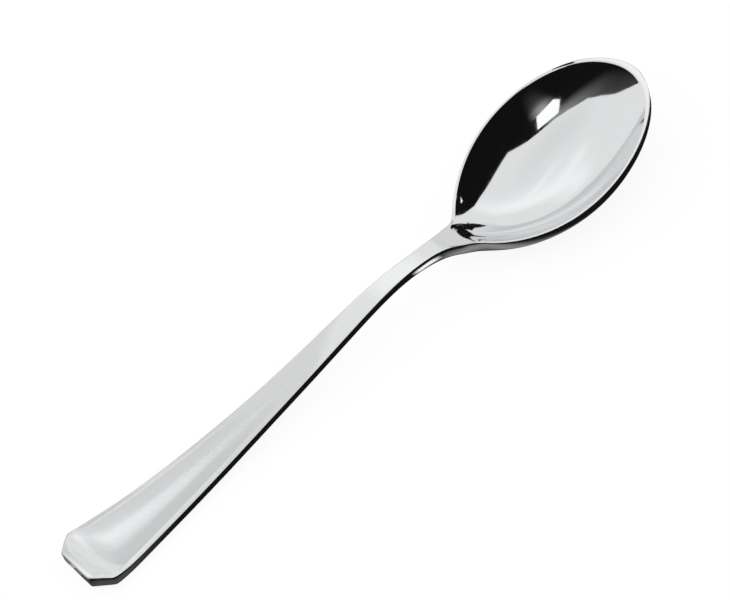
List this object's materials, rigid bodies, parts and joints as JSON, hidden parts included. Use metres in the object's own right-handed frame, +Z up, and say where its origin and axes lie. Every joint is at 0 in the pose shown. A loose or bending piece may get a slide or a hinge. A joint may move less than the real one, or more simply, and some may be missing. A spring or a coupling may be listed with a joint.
{
  "type": "teaspoon",
  "caption": "Teaspoon with an oval bowl, a narrow arched neck and a tapering handle whose wide end has cut corners.",
  "frame": {"origin": "on the table, under the centre of the spoon's length and width", "axes": "+X from the cut end of the handle to the tip of the bowl, +Y across the spoon, +Z up out of the open bowl, with the spoon lying at rest"},
  "size_m": [0.138, 0.0304, 0.0115],
  "materials": {
    "polished_steel": "mirror-polished stainless steel"
  },
  "bodies": {
    "root": {"handle": "polished_steel", "neck": "polished_steel", "bowl": "polished_steel"}
  },
  "joints": []
}
